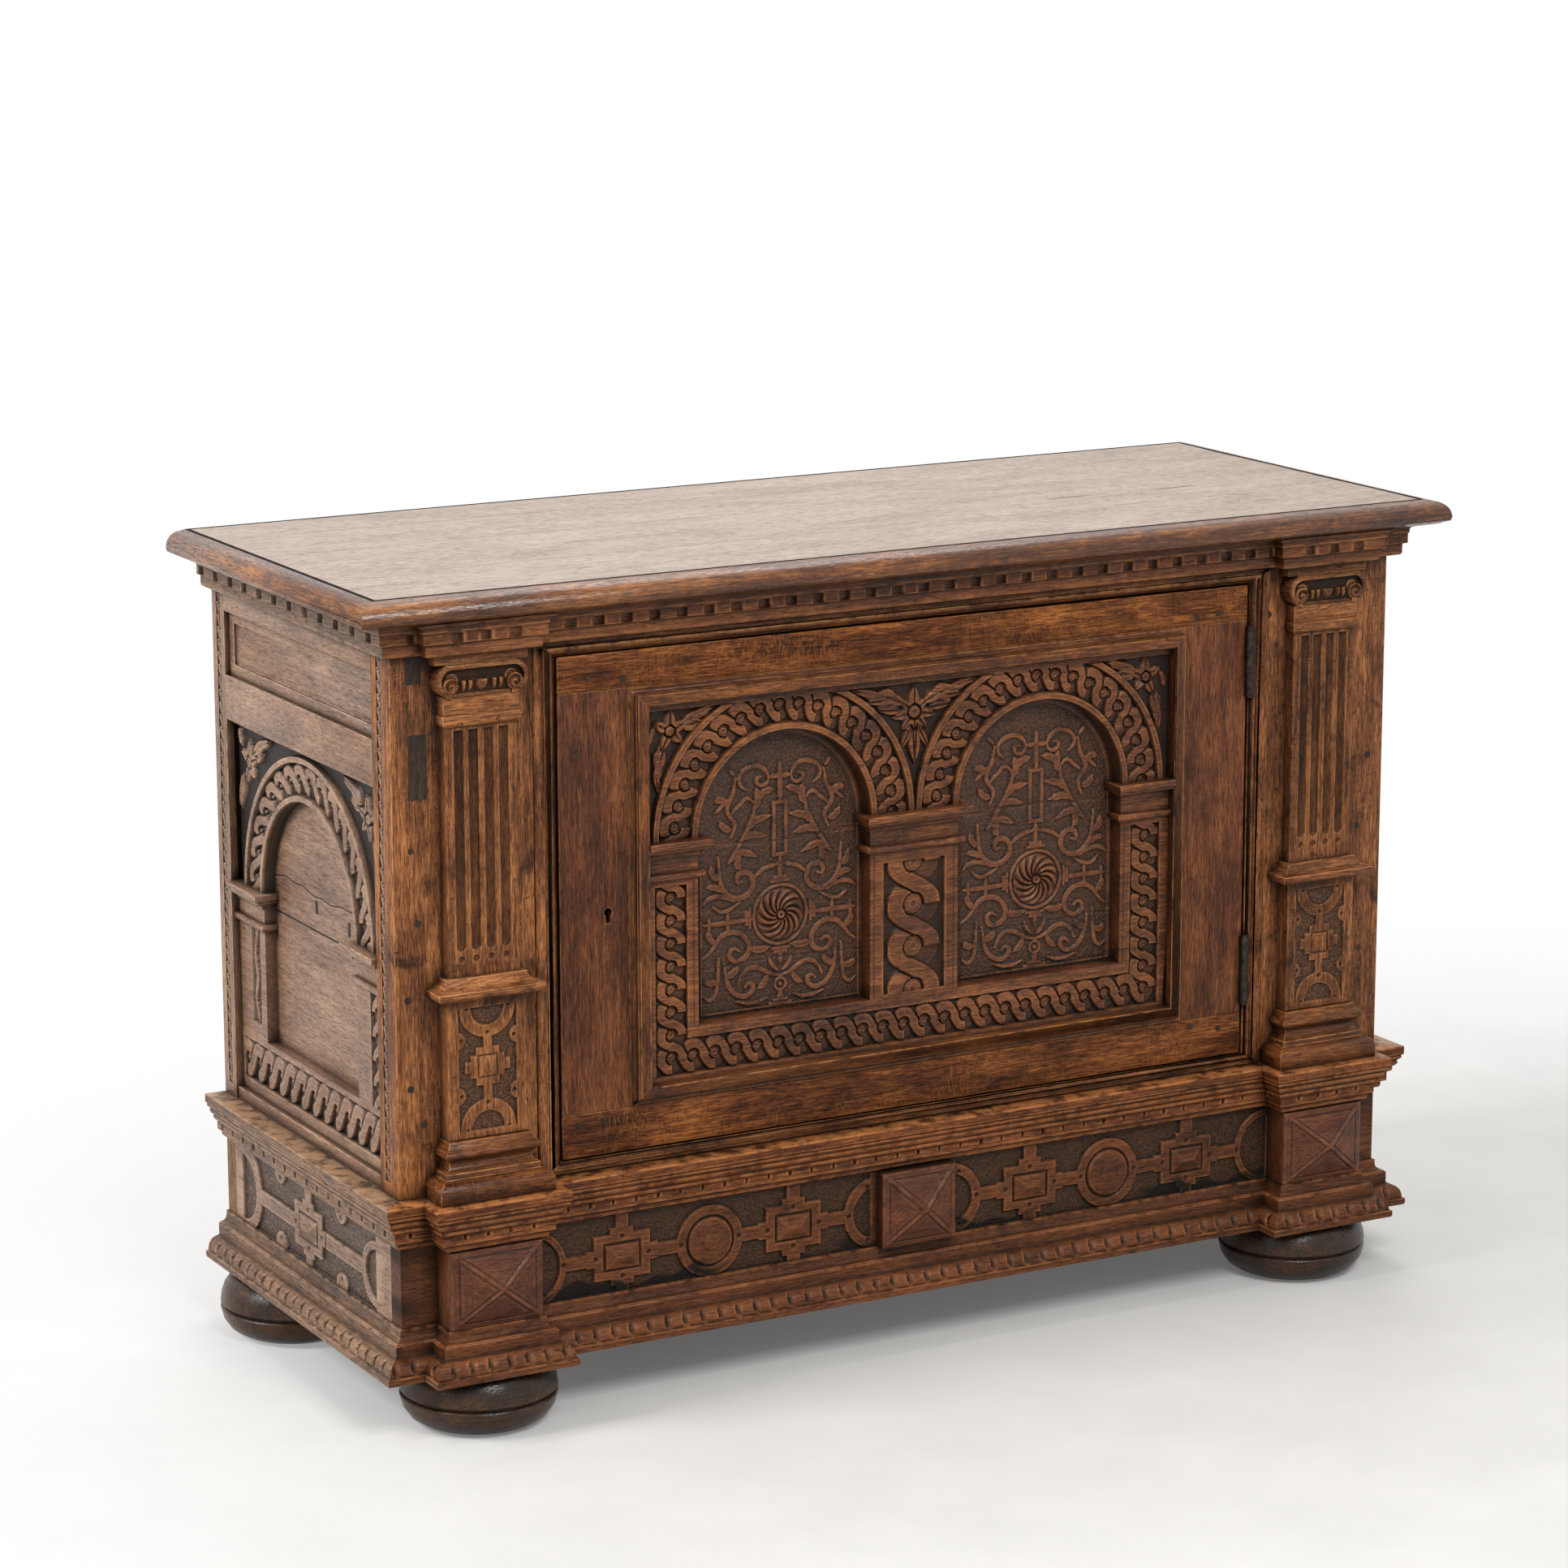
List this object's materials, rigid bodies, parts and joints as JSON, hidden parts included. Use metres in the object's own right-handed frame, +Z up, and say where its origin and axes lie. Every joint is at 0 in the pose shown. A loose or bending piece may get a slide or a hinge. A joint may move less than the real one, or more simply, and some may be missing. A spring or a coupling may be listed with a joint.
{
  "type": "cabinet",
  "caption": "Low carved oak cabinet with a wide hinged door, arched panels, fluted pilasters, moulded top and plinth, and bun feet.",
  "frame": {"origin": "on the floor, at the middle of the cabinet's width and depth", "axes": "+X to the right as seen from the front, +Y to the back, +Z up; the door faces -Y"},
  "size_m": [1.3, 0.5191, 0.872],
  "materials": {
    "top": "waxed oak with a pale, dry surface and open grain",
    "inlay": "ebonised line",
    "edge": "waxed oak, dark in the hollows",
    "front": "waxed oak, reddish brown",
    "side": "dull waxed oak, greyer brown",
    "side_carving": "carved oak, dark in the hollows",
    "pilaster": "waxed oak, worn lighter on the edges",
    "plinth": "waxed oak, dark in the hollows",
    "diamond": "waxed oak",
    "foot": "dark stained wood, worn on the edges",
    "door": "waxed oak, reddish brown",
    "door_carving": "carved oak, dark in the hollows",
    "door_ground": "carved oak with a punched ground",
    "inside": "raw oak",
    "iron": "dark wrought iron"
  },
  "bodies": {
    "cabinet": {"back_boards": "inside", "board_bearers": "inside", "bottom_board": "inside", "capital_left": "pilaster", "capital_right": "pilaster", "cornice": "edge", "doorway_moulding": "front", "foot_front_left": "foot", "foot_front_right": "foot", "foot_rear_left": "foot", "foot_rear_right": "foot", "front_rail_bottom": "front", "front_rail_top": "front", "front_stile_left": "front", "front_stile_right": "front", "hinge_frame_leaves": "iron", "hinge_pins": "iron", "lock_strike": "iron", "pedestal_left": "pilaster", "pedestal_right": "pilaster", "pilaster_base_left": "pilaster", "pilaster_base_right": "pilaster", "pilaster_shaft_left": "pilaster", "pilaster_shaft_right": "pilaster", "plinth_back": "inside", "plinth_base_moulding": "plinth", "plinth_block_left": "plinth", "plinth_block_right": "plinth", "plinth_cornice": "plinth", "plinth_diamonds": "diamond", "plinth_front": "plinth", "plinth_side_left": "plinth", "plinth_side_right": "plinth", "rear_post_left": "side", "rear_post_right": "side", "shelf": "inside", "side_arch_board_left": "side_carving", "side_arch_board_right": "side_carving", "side_field_left": "side", "side_field_right": "side", "side_imposts_left": "side_carving", "side_imposts_right": "side_carving", "side_rails_left": "side", "side_rails_right": "side", "side_upper_panel_left": "side", "side_upper_panel_right": "side", "top_board": "top", "top_edge_mouldings": "edge", "top_inlay": "inlay"},
    "door": {"door_arcade": "door_carving", "door_imposts": "door_carving", "door_panel": "door_ground", "door_panel_moulding": "door_carving", "door_rail_bottom": "door", "door_rail_top": "door", "door_stile_hinge": "door", "door_stile_lock": "door", "hinge_door_leaves": "iron", "lock_case": "iron"},
    "bolt": {"lock_bolt": "iron"}
  },
  "joints": [
    {"name": "door_hinge", "type": "hinge", "parent": "cabinet", "child": "door", "pos_m": [0.418, -0.202, 0.534], "axis": [0, 0, 1], "range_deg": [0, 120]},
    {"name": "bolt_slide", "type": "slide", "parent": "door", "child": "bolt", "axis": [-1, 0, 0], "range_m": [0, 0.01]}
  ]
}
